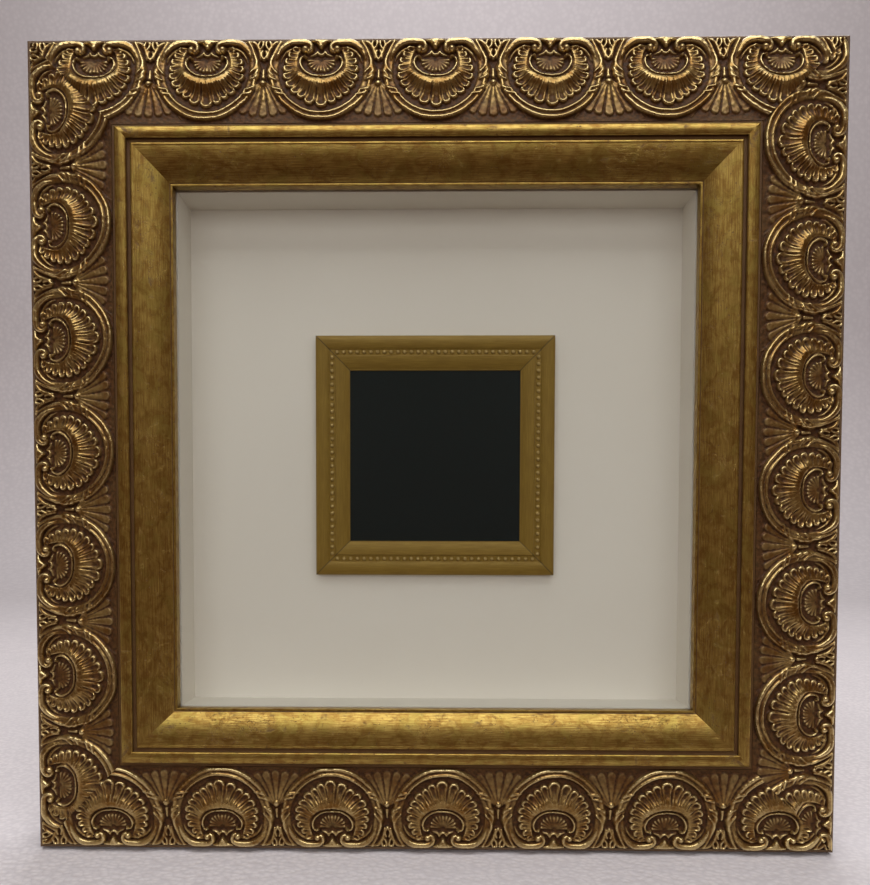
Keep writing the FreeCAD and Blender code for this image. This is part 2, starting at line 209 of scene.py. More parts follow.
def blur(field, sigma):
    """Gaussian blur of a 2-D field, sigma in cells."""
    reach = int(3 * sigma) + 1
    kernel = np.exp(-0.5 * (np.arange(-reach, reach + 1) / sigma) ** 2)
    kernel /= kernel.sum()
    for axis in (0, 1):
        if field.shape[axis] == 1:
            continue
        pad = [(0, 0), (0, 0)]
        pad[axis] = (reach, reach)
        wide = np.pad(field, pad, mode="edge")
        total = np.zeros_like(field)
        for i, weight in enumerate(kernel):
            total += weight * np.take(wide, np.arange(i, i + field.shape[axis]), axis=axis)
        field = total
    return field


# ---- the pressed shell ornament ----

CELL = 0.125          # spacing of the points of the drawn shell


def smooth_path(points, per=10):
    """A smooth line through a few points."""
    p = np.array(points, float)
    if len(p) < 3:
        f = np.linspace(0, 1, per * 2)[:, None]
        return p[0] * (1 - f) + p[-1] * f
    q = np.vstack([2 * p[0] - p[1], p, 2 * p[-1] - p[-2]])
    out = []
    f = np.linspace(0, 1, per, endpoint=False)[:, None]
    for i in range(len(p) - 1):
        a, b, c, e = q[i:i + 4]
        out.append(0.5 * (2 * b + (c - a) * f + (2 * a - 5 * b + 4 * c - e) * f ** 2
                          + (3 * b - 3 * c + e - a) * f ** 3))
    out.append(p[-1:])
    return np.vstack(out)


class Relief:
    """One shell's height above the ground, u along the rail and v inward, nearly mirrored at u = 0.
    Broad forms go into body, and the lines that stand on them into lines."""

    def __init__(self, width, depth):
        """An empty ground, with u = 0 in the middle of its width."""
        self.u = np.arange(-width / 2, width / 2 + CELL / 2, CELL)
        self.v = np.arange(0, depth + CELL / 2, CELL)
        self.U, self.V = np.meshgrid(self.u, self.v)
        self.body = np.zeros_like(self.U)
        self.lines = np.zeros_like(self.U)

    def ridge(self, layer, points, widths, heights, flat=0.0, power=0.7):
        """Two round-topped ridges, one on each hand, along a line.
        The widths are half widths, and both widths and heights are spread along the line."""
        for hand in (1, -1):
            path = smooth_path(points) * (hand, 1)
            path[:, 0] += 0.16 * np.sin(0.55 * path[:, 1] + 1.4 * hand)
            path[:, 1] += 0.14 * hand * np.sin(0.35 * path[:, 0])
            self.trace(layer, path, np.atleast_1d(widths), np.atleast_1d(heights), flat, power)

    def trace(self, layer, path, widths, heights, flat, power):
        """One ridge along a path. flat is the share of its half width that stays level."""
        at = np.linspace(0, 1, len(path))
        w = np.interp(at, np.linspace(0, 1, len(widths)), widths)
        top = np.interp(at, np.linspace(0, 1, len(heights)), heights)
        low, high = path.min(0) - w.max(), path.max(0) + w.max()
        cols = np.flatnonzero((self.u >= low[0]) & (self.u <= high[0]))
        rows = np.flatnonzero((self.v >= low[1]) & (self.v <= high[1]))
        if not len(cols) or not len(rows):
            return
        window = np.ix_(rows, cols)
        U, V = self.U[window], self.V[window]
        best = layer[window]
        for i in range(len(path) - 1):
            (au, av), (bu, bv) = path[i], path[i + 1]
            du, dv = bu - au, bv - av
            f = np.clip(((U - au) * du + (V - av) * dv) / max(du * du + dv * dv, 1e-9), 0, 1)
            r = np.hypot(U - au - f * du, V - av - f * dv)
            x = np.clip(r / (w[i] + (w[i + 1] - w[i]) * f), 0, 1)
            x = np.clip((x - flat) / (1 - flat), 0, 1)
            best = np.maximum(best, (top[i] + (top[i + 1] - top[i]) * f) * (1 - x * x) ** power)
        layer[window] = best

    def ball(self, layer, u, v, radius, height):
        """A domed pearl on each hand."""
        r = np.hypot(np.abs(self.U) - u, self.V - v) / radius
        np.maximum(layer, height * np.sqrt(np.clip(1 - r * r, 0, 1)), out=layer)


RING_V = 12.9         # v of the middle of the shell's ring
FAN_V = 8.8           # v of the point that the fan's petals spread from
LEAF_V = 17.0         # v of the point that the leaves between two shells spread from


def ring_line(radius, first, last, count=14):
    """Points on the shell's ring, by angle from the inward direction."""
    angles = np.radians(np.linspace(first, last, count))
    return [(radius * math.sin(a), RING_V + radius * math.cos(a)) for a in angles]


def edge_step(distance, width):
    """0 outside, 1 inside, with a rounded shoulder of this width."""
    f = np.clip(distance / width, 0, 1)
    return np.sqrt(1 - (1 - f) ** 2)


def petals(angle, radius, table):
    """Which round-ended petal a point is in: its place across it (-1 to 1), and the petal's end there.
    The table gives each petal's middle angle, half width in degrees, and reach."""
    middle, span, reach = np.array(table).T
    n = np.argmin(np.abs(angle[..., None] - middle) / span, axis=-1)
    across = np.clip((angle - middle[n]) / span[n], -1, 1)
    round_end = 1.15 * reach[n] * np.radians(span[n]) * (1 - np.sqrt(np.clip(1 - across * across, 0, 1)))
    return across, reach[n] - round_end


# middle angle, half width and reach of the fan's petals, from the left horn round to the right one
FAN = [(-111, 6.5, 11.6), (-98, 6.6, 12.7), (-85, 6.2, 13.7), (-73, 6.3, 14.7), (-60.5, 6.4, 15.8),
       (-47.5, 6.6, 16.6), (-35.5, 5.4, 17.2), (-25, 5.4, 17.3), (-13, 6.3, 18.3), (1, 7.2, 18.8),
       (13, 5.2, 18.0), (23, 4.9, 17.2), (34, 6.2, 17.1), (46, 5.8, 16.5), (58, 6.2, 16.0), (71, 6.6, 14.8),
       (84, 6.5, 13.7), (97.5, 6.6, 12.4), (110, 6.4, 11.4)]
# the same for the leaves of the palmette between two shells, from its middle outwards
PALMETTE = [(0, 8.5, 14.0), (17.5, 8.2, 14.2), (33, 7.6, 15.0)]


def draw_shell():
    """The shell cartouche: ring, fan, collar with its palmette, scrolls, and the leaves at its sides."""
    r = Relief(PITCH, 34.0)
    U, V = r.U, r.V
    body, lines = r.body, r.lines
    # ring: a low round band with a raised line along each edge
    R = np.hypot(U, V - RING_V)
    np.maximum(body, 1.05 * edge_step(19.6 - R, 1.0) * edge_step(R - 15.6, 0.9) * (R > 15.6), out=body)
    np.maximum(body, 0.35 * (R < 16.0), out=body)
    r.ridge(lines, ring_line(18.55, 0, 126), [0.85, 0.85, 0.8, 0.6], 0.70)
    r.ridge(lines, ring_line(16.45, 0, 60), [0.75, 0.7, 0.5], 0.75)
    r.ridge(lines, [(17.3, 6.4), (18.4, 9.4), (17.7, 12.2), (16.0, 14.3)], [0.45, 0.75, 0.7, 0.4], 0.8)
    # acanthus flicks on the ring
    for flick in ([(19.4, 10.6), (19.3, 13.2), (17.4, 15.5)], [(19.7, 13.4), (18.9, 15.7), (16.4, 17.0)],
                  [(18.9, 18.6), (17.4, 20.2), (14.2, 20.8)], [(17.5, 20.8), (15.7, 22.3), (12.3, 22.6)]):
        r.ridge(lines, flick, [0.4, 1.0, 0.35], [0.5, 1.15, 0.8])
    # fan: a broad roll at the collar that runs out into hollow petals with raised rims
    rho = np.hypot(U, V - FAN_V)
    theta = np.degrees(np.arctan2(U, V - FAN_V))
    turn_out = np.abs(theta)
    start = np.interp(turn_out, [0, 20, 45, 65, 90, 112], [7.3, 7.6, 8.4, 8.7, 8.1, 7.2])
    bend = 5.0 * np.sin(np.radians(theta * 1.5)) * np.clip((rho - start) / 9, 0, 1) ** 2
    f, end = petals(theta - bend, rho, FAN)
    x = np.clip((rho - start) / (end - start), 0, 1)
    fan = np.interp(x, [0.0, 0.03, 0.08, 0.18, 0.27, 0.36, 0.50, 0.64, 0.80, 0.92, 1.0],
                    [1.0, 2.1, 2.60, 2.85, 2.90, 2.60, 1.75, 1.15, 1.05, 1.40, 1.35])
    low_fan = np.interp(x, [0.0, 0.15, 0.5, 0.9, 1.0], [0.8, 1.55, 1.35, 1.45, 1.3])
    fan = fan + (low_fan - fan) * np.interp(turn_out, [50, 72], [0, 1])
    within = (rho < end) & (turn_out < 116) & (rho > start - 0.3)
    np.maximum(body, np.where(within, fan * edge_step(end - rho, 0.6), 0), out=body)
    depth = np.interp(x, [0.0, 0.16, 0.32, 0.6, 1.0], [0.0, 0.12, 0.50, 0.95, 0.90])
    tip = np.exp(-((end - rho - 0.8) / 0.65) ** 2)
    rim = 0.30 * np.exp(-((np.abs(f) - 0.68) / 0.24) ** 2)
    valley = 0.40 * np.exp(-((np.abs(f) - 1.0) / 0.14) ** 2)
    veins = 0.20 * np.cos(f * math.pi * 3.2) * np.clip(1.1 - x, 0, 1)
    hollow = 0.42 * np.exp(-(f / 0.5) ** 2) * (1 - tip)
    flutes = depth * (rim - valley + veins - hollow) + 0.38 * tip * (1 - np.abs(f) ** 4)
    flutes = np.where(within, flutes * edge_step(end - rho, 0.45), 0)
    # hollow inside the fan, and the thin collar
    inside = (np.hypot(U / 8.3, (V - 8.9) / 7.5) < 1) & (V > 3.2)
    body[inside] = np.minimum(body[inside], 0.25)
    flutes[inside] = 0
    r.ridge(lines, [(0.0, 15.5), (3.6, 14.9), (6.2, 13.1), (7.5, 10.6), (7.5, 8.8), (6.8, 7.8), (5.8, 8.1)],
            [0.60, 0.60, 0.58, 0.55, 0.5, 0.45, 0.42], 1.55)
    r.ball(body, 5.7, 8.2, 0.85, 1.6)
    # sunk palmette in the collar
    for angle, length in ((0, 4.7), (15, 4.9), (31, 4.9), (48, 4.9), (66, 4.8), (84, 4.7)):
        sine, cosine = math.sin(math.radians(angle)), math.cos(math.radians(angle))
        leaf = [(0.9 * sine, 8.6 + 0.9 * cosine), (0.6 * length * sine, 8.6 + 0.55 * length * cosine),
                (length * sine, 8.6 + 0.95 * length * cosine)]
        r.ridge(lines, leaf, [0.30, 0.42, 0.62], [0.35, 0.55, 0.90])
    # moustache, boss and pearl at the outer side
    r.ridge(lines, [(0.0, 7.0), (1.0, 6.6), (1.6, 5.5)], [0.55, 0.55, 0.45], 1.1)
    r.ridge(lines, [(1.6, 5.6), (2.3, 6.6), (4.1, 7.2)], [0.45, 0.58, 0.4], [1.1, 1.1, 0.7])
    r.ridge(body, [(0.0, 1.7), (1.6, 1.7), (3.4, 1.5)], [1.35, 1.2, 0.7], [2.2, 2.1, 1.6], flat=0.4,
            power=0.5)
    r.ridge(body, [(0.0, 2.0), (0.0, 3.9)], [2.2, 0.9], [2.3, 2.0], flat=0.4, power=0.5)
    r.ball(body, 0.0, 4.1, 0.9, 2.5)
    # scrolls
    r.ridge(body, [(5.1, 6.0), (4.1, 5.2), (3.9, 3.8), (5.1, 2.6), (7.8, 2.2), (10.4, 2.4), (12.7, 3.3),
                   (14.6, 4.9), (15.9, 6.9), (16.5, 9.2)],
            [0.6, 0.9, 1.05, 1.3, 1.5, 1.55, 1.5, 1.35, 1.05, 0.5],
            [1.8, 2.1, 2.4, 2.7, 2.8, 2.8, 2.7, 2.4, 2.0, 1.3], flat=0.35, power=0.6)
    r.ridge(body, [(6.9, 4.5), (8.9, 4.4), (10.9, 5.0), (12.8, 6.2), (14.2, 7.9), (14.8, 9.8)],
            [0.4, 0.75, 0.85, 0.8, 0.6, 0.3], [1.6, 1.8, 1.8, 1.6, 1.3, 0.9], power=0.6)
    r.ball(body, 5.9, 5.0, 1.55, 2.8)
    # curls between two shells, at the outer side
    b = PITCH / 2
    r.ridge(body, [(13.6, 1.3), (16.2, 1.7), (18.3, 3.2), (19.5, 5.4), (19.9, 8.4)],
            [0.6, 1.0, 1.05, 0.9, 0.5], 1.4)
    r.ridge(body, [(b - 2.4, 3.2), (b - 1.9, 1.5), (b - 0.8, 1.6), (b - 0.6, 3.2), (b - 1.2, 4.6)],
            [0.5, 0.75, 0.8, 0.7, 0.5], 1.6)
    r.ridge(body, [(b - 0.4, 5.2), (b - 0.9, 6.9), (b - 0.1, 8.6)], [0.6, 0.8, 0.7], 1.5)
    r.ridge(body, [(b, 12.8), (b, 15.8)], 0.8, 1.3)
    # palmette between two shells
    edge = b - np.abs(U)
    spread = np.degrees(np.arctan2(edge, V - LEAF_V))
    out = np.hypot(edge, V - LEAF_V)
    g, leaf_end = petals(spread, out, PALMETTE)
    far = np.clip(out / leaf_end, 0, 1)
    clear = edge_step(R - 19.5, 0.8) * (R > 19.5) * (V > 17.2)
    leaf = (1.60 - 1.05 * far + 0.35 * far ** 6) * edge_step(leaf_end - out, 0.9)
    leaf = leaf - np.interp(far, [0, 0.25, 1], [0.0, 0.45, 0.62]) * np.abs(g) ** 1.7
    leaf = leaf - (0.30 * np.exp(-(g / 0.22) ** 2) - 0.10 * np.cos(g * 9.5)) * far
    np.maximum(body, np.where((out < leaf_end) & (spread < 41), leaf * clear, 0), out=body)
    # long outer leaf that follows the ring down to the margin
    blade = (1.25 - 0.055 * out + 0.22 * np.cos(np.radians(spread) * 46)) * edge_step(32.9 - V, 2.2)
    np.maximum(body, np.where((spread > 40) & (spread < 66) & (out < 19.5), blade * clear, 0), out=body)
    r.ball(body, b, 18.3, 1.5, 2.3)
    return body + lines + flutes


def sample(cell, u, v):
    """The cell's height at u, v by bilinear interpolation."""
    u = np.clip((u + PITCH / 2) / CELL, 0, cell.shape[1] - 1.001)
    v = np.clip(v / CELL, 0, cell.shape[0] - 1.001)
    i, j = u.astype(int), v.astype(int)
    fu, fv = u - i, v - j
    return ((cell[j, i] * (1 - fu) + cell[j, i + 1] * fu) * (1 - fv)
            + (cell[j + 1, i] * (1 - fu) + cell[j + 1, i + 1] * fu) * fv)


STRIP_STEP = 0.25     # spacing of a strip's points


def ornament(side, cell, materials):
    """One rail's strip of shells as a closed, finely divided mesh."""
    rows = int(round((CHANNEL_TO - CHANNEL_FROM) / STRIP_STEP)) + 1
    columns = int(round(2 * HALF / STRIP_STEP)) + 1
    d = np.linspace(CHANNEL_FROM, CHANNEL_TO, rows)
    t = np.linspace(-1, 1, columns)
    s = t[:, None] * (HALF - d[None, :])
    D = np.broadcast_to(d, s.shape)
    seed = 11 + list(SIDES).index(side)
    # no two shells are quite alike: the drawing wanders, and its height and surface vary
    u = s + 0.13 * ripple(seed, s, D, (9, 26))
    v = D / STRETCH[side] + 0.10 * ripple(seed + 20, s, D, (9, 26))
    u = (u - PHASE[side] + PITCH / 2) % PITCH - PITCH / 2
    relief = sample(cell, u, v)
    relief = relief * (1 + 0.10 * ripple(seed + 40, s, D, (10, 45)))
    relief = relief + 0.055 * ripple(seed + 60, s, D, (1.3, 4.5), 18)
    edge = np.clip(np.minimum(D - CHANNEL_FROM, CHANNEL_TO - D) / 0.5, 0, 1)
    relief = np.clip(relief, -0.1, 3.3) * edge
    slope = np.interp(D, [CHANNEL_FROM, CHANNEL_TO], [BAND_OUTER_H, BAND_INNER_H])
    top = slope + relief
    # how far each point stands above its neighbourhood, near and far
    gap = relief - blur(relief, 1.1 / STRIP_STEP)
    fine = relief - blur(relief, 0.45 / STRIP_STEP)
    stand = relief - blur(relief, 3.4 / STRIP_STEP)
    under_d = np.linspace(CHANNEL_TO, CHANNEL_FROM, 9)
    under_h = np.interp(under_d, [CHANNEL_FROM, CHANNEL_TO],
                        [BAND_OUTER_H - GROUND, BAND_INNER_H - GROUND])
    under = np.zeros((columns, len(under_d)))
    ring_d = np.concatenate([d, under_d])
    ring_h = np.concatenate([top, under + under_h], axis=1)
    fields = {key: np.concatenate([values, under], axis=1) for key, values in
              (("gap", gap), ("fine", fine), ("relief", relief), ("stand", stand))}
    obj = sweep(f"{side}_shell_ornament", side, ring_d, ring_h, t, HALF, FACE_Y, materials,
                None, fields, crease=75.0)
    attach(obj, "frame")
    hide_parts(f"{side}_ornament")
    return obj


# ---- material helpers ----

class Tree:
    """A material with one Principled shader and short calls to add nodes in front of it."""

    def __init__(self, name, **plain):
        """plain holds the shader's own values, such as Specular_IOR_Level=0.5."""
        self.material = bpy.data.materials.new(name)
        self.material.use_nodes = True
        self.tree = self.material.node_tree
        self.tree.nodes.clear()
        self.output = self.tree.nodes.new("ShaderNodeOutputMaterial")
        self.shader = self.put("BsdfPrincipled")
        self.tree.links.new(self.shader.outputs[0], self.output.inputs["Surface"])
        for key, value in plain.items():
            self.shader.inputs[key.replace("_", " ")].default_value = value

    def put(self, kind, inputs=None, **settings):
        """Adds a node. Its inputs are plain values, or sockets to link."""
        node = self.tree.nodes.new("ShaderNode" + kind)
        for key, value in settings.items():
            setattr(node, key, value)
        for key, value in (inputs or {}).items():
            if isinstance(value, bpy.types.NodeSocket):
                self.tree.links.new(value, node.inputs[key])
            else:
                node.inputs[key].default_value = value
        return node

    def feed(self, **inputs):
        """Links sockets to the shader's inputs."""
        for key, value in inputs.items():
            self.tree.links.new(value, self.shader.inputs[key.replace("_", " ")])

    def math(self, operation, a, b=0.0, c=0.0, clamp=False):
        """One sum on sockets or numbers."""
        return self.put("Math", {0: a, 1: b, 2: c}, operation=operation, use_clamp=clamp).outputs[0]

    def field(self, name, output="Fac"):
        """A point field of the mesh."""
        return self.put("Attribute", attribute_name=name).outputs[output]

    def here(self):
        """The point's place in its own object, in metres."""
        return self.put("TexCoord").outputs["Object"]

    def scaled(self, vector, x, y, z, turn=0.0):
        """A place stretched along its axes, and turned in its plane by radians."""
        settings = {"Vector": vector, "Scale": (x, y, z), "Rotation": (0, 0, turn)}
        return self.put("Mapping", settings).outputs[0]

    def noise(self, vector, scale, detail=3.0, roughness=0.55, distortion=0.0):
        """Cloudy noise of about 0.2 to 0.8."""
        return self.put("TexNoise", {"Vector": vector, "Scale": scale, "Detail": detail,
                                     "Roughness": roughness, "Distortion": distortion}).outputs[0]

    def span(self, value, low, high, to_low=0.0, to_high=1.0):
        """A smooth step: to_low where the value is low, and to_high where it is high."""
        return self.put("MapRange", {"Value": value, "From Min": low, "From Max": high, "To Min": to_low,
                                     "To Max": to_high}, interpolation_type="SMOOTHSTEP").outputs[0]

    def share(self, value, low, high, most):
        """A smooth step from 0 to most."""
        return self.math("MULTIPLY", self.span(value, low, high), most)

    def blend(self, factor, a, b):
        """Colour a at factor 0 and colour b at 1."""
        return self.put("Mix", {0: factor, 6: a, 7: b}, data_type="RGBA").outputs[2]

    def bump(self, height, distance, strength=1.0, normal=None):
        """Fine roughness whose full height is this distance in metres, over another bump if given."""
        inputs = {"Height": height, "Distance": distance, "Strength": strength}
        if normal is not None:
            inputs["Normal"] = normal
        return self.put("Bump", inputs).outputs[0]


def rgb(red, green, blue):
    """A colour given as screen values from 0 to 255, as linear light."""
    values = [c / 255 for c in (red, green, blue)]
    linear = [c / 12.92 if c <= 0.04045 else ((c + 0.055) / 1.055) ** 2.4 for c in values]
    return (*linear, 1.0)


GOLD = (0.50, 0.345, 0.090, 1)
# painted highlight colour: the pale gold laid on the ornament's crests
PAINTED_HIGHLIGHT_GOLD = (0.74, 0.575, 0.275, 1)
BRONZE = (0.36, 0.230, 0.076, 1)
GOLD_OLIVE = (0.34, 0.255, 0.055, 1)
GOLD_DEEP = (0.200, 0.089, 0.015, 1)
UMBER = (0.032, 0.014, 0.006, 1)
UMBER_WARM = (0.078, 0.031, 0.011, 1)


def gilt_moulding():
    """Antique gilding on the smooth moulding: brushed along the rail, speckled, dark in the grooves."""
    m = Tree("gilt_moulding")
    rail = m.field("rail", "Vector")
    groove = m.field("groove")
    streak = m.noise(m.scaled(rail, 130, 2600, 1), 1.0, 3.0, 0.55)
    cloud = m.noise(m.scaled(rail, 1, 1.4, 1), 190.0, 6.0, 0.68, 0.7)
    patch = m.noise(m.scaled(rail, 1, 1.5, 1), 230.0, 5.0, 0.65, 0.6)
    speck = m.noise(rail, 1100.0, 2.0, 0.5)
    crack = m.noise(m.scaled(rail, 1, 2.2, 1, 0.6), 75.0, 6.0, 0.7, 1.2)
    cluster = m.span(m.noise(rail, 28.0, 2.0), 0.52, 0.66)
    tint = m.noise(rail, 95.0, 4.0, 0.6)
    hair = m.math("ABSOLUTE", m.math("SUBTRACT", crack, 0.5))
    hair = m.math("MULTIPLY", m.span(hair, 0.003, 0.012, 0.7, 0.0), cluster)
    dots = m.math("MULTIPLY", m.span(speck, 0.63, 0.70), m.span(m.noise(rail, 110.0, 2.0), 0.44, 0.58))
    worn = m.share(patch, 0.57, 0.72, 0.65)
    blot = m.share(m.noise(m.scaled(rail, 1, 1.3, 1), 78.0, 6.0, 0.72, 0.9), 0.59, 0.71, 0.95)
    mark = m.math("MAXIMUM", m.math("MAXIMUM", hair, dots), m.math("MAXIMUM", worn, blot))
    gold = m.blend(m.span(streak, 0.34, 0.64, 0.32, 1.0), GOLD_DEEP, GOLD)
    gold = m.blend(m.share(tint, 0.48, 0.60, 0.5), gold, GOLD_OLIVE)
    gold = m.blend(m.share(cloud, 0.40, 0.66, 0.66), gold, GOLD_DEEP)
    dark = m.math("MAXIMUM", m.share(groove, 0.25, 0.85, 0.9), m.math("MULTIPLY", mark, 0.85), clamp=True)
    colour = m.blend(dark, gold, UMBER_WARM)
    metal = m.math("MULTIPLY_ADD", dark, -0.75, 0.92, clamp=True)
    rough = m.math("ADD", m.span(streak, 0.3, 0.7, 0.42, 0.36), m.math("MULTIPLY", dark, 0.22))
    bump = m.bump(streak, 0.00003, 0.7)
    bump = m.bump(mark, 0.00006, 0.5, bump)
    m.feed(Base_Color=colour, Metallic=metal, Roughness=rough, Normal=bump)
    return m.material


def gilt_shells():
    """Gold on the raised parts of the ornament and umber in its hollows, with a painted highlight of pale
    gold on its crests.
    """
    m = Tree("gilt_shells")
    rail = m.field("rail", "Vector")
    gap, fine, relief = m.field("gap"), m.field("fine"), m.field("relief")
    mottle = m.noise(rail, 700.0, 4.0, 0.6)
    cloud = m.noise(rail, 120.0, 3.0, 0.55)
    level = m.math("ADD", m.math("MULTIPLY", gap, 0.7), m.math("MULTIPLY", fine, 1.0))
    level = m.math("ADD", level, m.math("MULTIPLY", m.math("SUBTRACT", mottle, 0.5), 0.5))
    raised = m.span(level, -0.50, 0.25)
    raised = m.math("MULTIPLY", raised, m.span(relief, 0.10, 1.30, 0.15, 1.0))
    raised = m.math("MULTIPLY", raised, m.span(m.field("stand"), -0.75, 0.15, 0.42, 1.0))
    gold = m.blend(m.span(cloud, 0.35, 0.65), BRONZE, GOLD_DEEP)
    # painted highlight: pale gold laid on the crests of the fine lines
    crest_highlight = m.span(m.math("ADD", fine, m.math("MULTIPLY", gap, 0.30)), 0.05, 0.65)
    gold = m.blend(crest_highlight, gold, PAINTED_HIGHLIGHT_GOLD)
    ground = m.blend(m.span(mottle, 0.35, 0.65), UMBER, UMBER_WARM)
    colour = m.blend(raised, ground, gold)
    metal = m.math("MULTIPLY_ADD", raised, 0.80, 0.12)
    rough = m.math("MULTIPLY_ADD", m.math("SUBTRACT", mottle, 0.5), 0.2, m.span(raised, 0.0, 1.0, 0.54, 0.29))
    bump = m.bump(m.noise(rail, 2200.0, 3.0, 0.6), 0.00005, 0.7)
    bump = m.bump(mottle, 0.00010, 0.6, bump)
    m.feed(Base_Color=colour, Metallic=metal, Roughness=rough, Normal=bump,
           Specular_IOR_Level=m.span(raised, 0.0, 0.8, 0.18, 0.5))
    return m.material


def small_gilt():
    """Dull olive gold of the small frame, darker in its grooves, with a painted highlight of paler gold on
    its arris and pearls.
    """
    m = Tree("small_gilt")
    rail = m.field("rail", "Vector")
    groove, high = m.field("groove"), m.field("high")
    streak = m.noise(m.scaled(rail, 110, 2300, 1), 1.0, 3.0, 0.6)
    cloud = m.noise(rail, 110.0, 3.0, 0.6)
    gold = m.blend(m.span(streak, 0.35, 0.68), (0.245, 0.148, 0.022, 1), (0.30, 0.190, 0.032, 1))
    gold = m.blend(m.share(cloud, 0.35, 0.7, 0.35), gold, (0.225, 0.130, 0.021, 1))
    # painted highlight: paler gold on the arris and the pearls, from the high field
    gold = m.blend(m.span(high, 0.2, 1.0), gold, (0.50, 0.36, 0.14, 1))
    colour = m.blend(m.span(groove, 0.2, 1.0), gold, (0.060, 0.036, 0.012, 1))
    rough = m.span(streak, 0.3, 0.7, 0.52, 0.44)
    m.feed(Base_Color=colour, Metallic=m.span(groove, 0.0, 1.0, 0.35, 0.1), Roughness=rough,
           Normal=m.bump(streak, 0.00002, 0.6))
    return m.material


def bare_wood():
    """Planed pale wood of the back and the rabbet, grained along the rail and grubby in places."""
    m = Tree("bare_wood")
    rail = m.field("rail", "Vector")
    grain = m.noise(m.scaled(rail, 7, 260, 1), 1.0, 5.0, 0.6, 0.8)
    pore = m.noise(m.scaled(rail, 60, 2400, 1), 1.0, 2.0, 0.5)
    stain = m.noise(rail, 22.0, 3.0, 0.6)
    colour = m.blend(m.span(grain, 0.3, 0.7), (0.50, 0.32, 0.165, 1), (0.33, 0.19, 0.088, 1))
    colour = m.blend(m.share(pore, 0.58, 0.72, 0.55), colour, (0.16, 0.085, 0.035, 1))
    colour = m.blend(m.share(stain, 0.5, 0.8, 0.3), colour, (0.20, 0.13, 0.075, 1))
    rough = m.span(grain, 0.3, 0.7, 0.62, 0.76)
    m.feed(Base_Color=colour, Roughness=rough, Normal=m.bump(pore, 0.00006, 0.7, m.bump(grain, 0.00010, 0.6)))
    return m.material


def painted_side():
    """Bronze-brown paint rubbed with gold on the outer sides and the rim."""
    m = Tree("painted_side")
    rail = m.field("rail", "Vector")
    streak = m.noise(m.scaled(rail, 25, 600, 1), 1.0, 4.0, 0.6)
    rub = m.noise(rail, 70.0, 5.0, 0.65, 0.5)
    colour = m.blend(m.span(streak, 0.35, 0.7), (0.100, 0.056, 0.028, 1), (0.160, 0.098, 0.048, 1))
    gold = m.span(rub, 0.52, 0.72)
    colour = m.blend(m.math("MULTIPLY", gold, 0.5), colour, GOLD_DEEP)
    m.feed(Base_Color=colour, Metallic=m.span(gold, 0.0, 1.0, 0.2, 0.6),
           Roughness=m.span(streak, 0.3, 0.7, 0.5, 0.38), Normal=m.bump(streak, 0.00007, 0.8))
    return m.material


def paper(name, base, fleck, size=1400.0, depth=0.00003, rough=0.85, sheen=0.5):
    """Matt paper or board with a fine tooth and faint flecks."""
    m = Tree(name, Specular_IOR_Level=sheen)
    here = m.here()
    tooth = m.noise(here, size, 4.0, 0.65)
    cloud = m.noise(here, 14.0, 3.0, 0.5)
    fibre = m.noise(m.scaled(here, 1, 1, 5), size * 0.35, 3.0, 0.6)
    colour = m.blend(m.share(cloud, 0.3, 0.7, 0.35), base, fleck)
    colour = m.blend(m.share(fibre, 0.56, 0.72, 0.25), colour, fleck)
    m.feed(Base_Color=colour, Roughness=m.span(tooth, 0.3, 0.7, rough - 0.06, rough + 0.06),
           Normal=m.bump(tooth, depth, 0.8))
    return m.material


def hardboard():
    """Brown pressed fibreboard: fine felted fibres over a smooth face."""
    m = Tree("hardboard_brown")
    here = m.here()
    felt = m.noise(here, 900.0, 5.0, 0.7, 0.6)
    fleck = m.noise(m.scaled(here, 3, 1, 1), 420.0, 3.0, 0.6)
    cloud = m.noise(here, 18.0, 3.0, 0.5)
    colour = m.blend(m.span(felt, 0.3, 0.7), (0.155, 0.080, 0.038, 1), (0.255, 0.145, 0.074, 1))
    colour = m.blend(m.share(fleck, 0.60, 0.72, 0.5), colour, (0.070, 0.036, 0.019, 1))
    colour = m.blend(m.share(cloud, 0.4, 0.7, 0.3), colour, (0.30, 0.18, 0.10, 1))
    m.feed(Base_Color=colour, Roughness=m.span(felt, 0.3, 0.7, 0.58, 0.44), Normal=m.bump(felt, 0.00006, 0.7))
    return m.material


def metal(name, base, dull, rough, scratch=0.00002, streak=(1, 1, 1)):
    """Plated metal with fine scratches, dulled in patches."""
    m = Tree(name)
    here = m.here()
    line = m.noise(m.scaled(here, *streak), 2600.0, 3.0, 0.6)
    tarnish = m.noise(here, 420.0, 4.0, 0.6)
    dulled = m.span(tarnish, 0.48, 0.72)
    colour = m.blend(m.math("MULTIPLY", dulled, 0.75), base, dull)
    brushed = m.span(line, 0.3, 0.7, rough - 0.06, rough + 0.06)
    m.feed(Base_Color=colour, Metallic=m.span(dulled, 0.0, 1.0, 1.0, 0.8),
           Roughness=m.math("MULTIPLY_ADD", dulled, 0.14, brushed), Normal=m.bump(line, scratch, 0.8))
    return m.material


def rubber():
    """Dark moulded rubber, a little dusty."""
    m = Tree("bumper_dark_rubber")
    here = m.here()
    grain = m.noise(here, 1500.0, 3.0, 0.6)
    dust = m.noise(here, 260.0, 3.0, 0.6)
    colour = m.blend(m.share(dust, 0.5, 0.75, 0.4), (0.018, 0.017, 0.016, 1), (0.085, 0.08, 0.075, 1))
    m.feed(Base_Color=colour, Roughness=m.span(dust, 0.3, 0.7, 0.52, 0.72),
           Normal=m.bump(grain, 0.00004, 0.7))
    return m.material


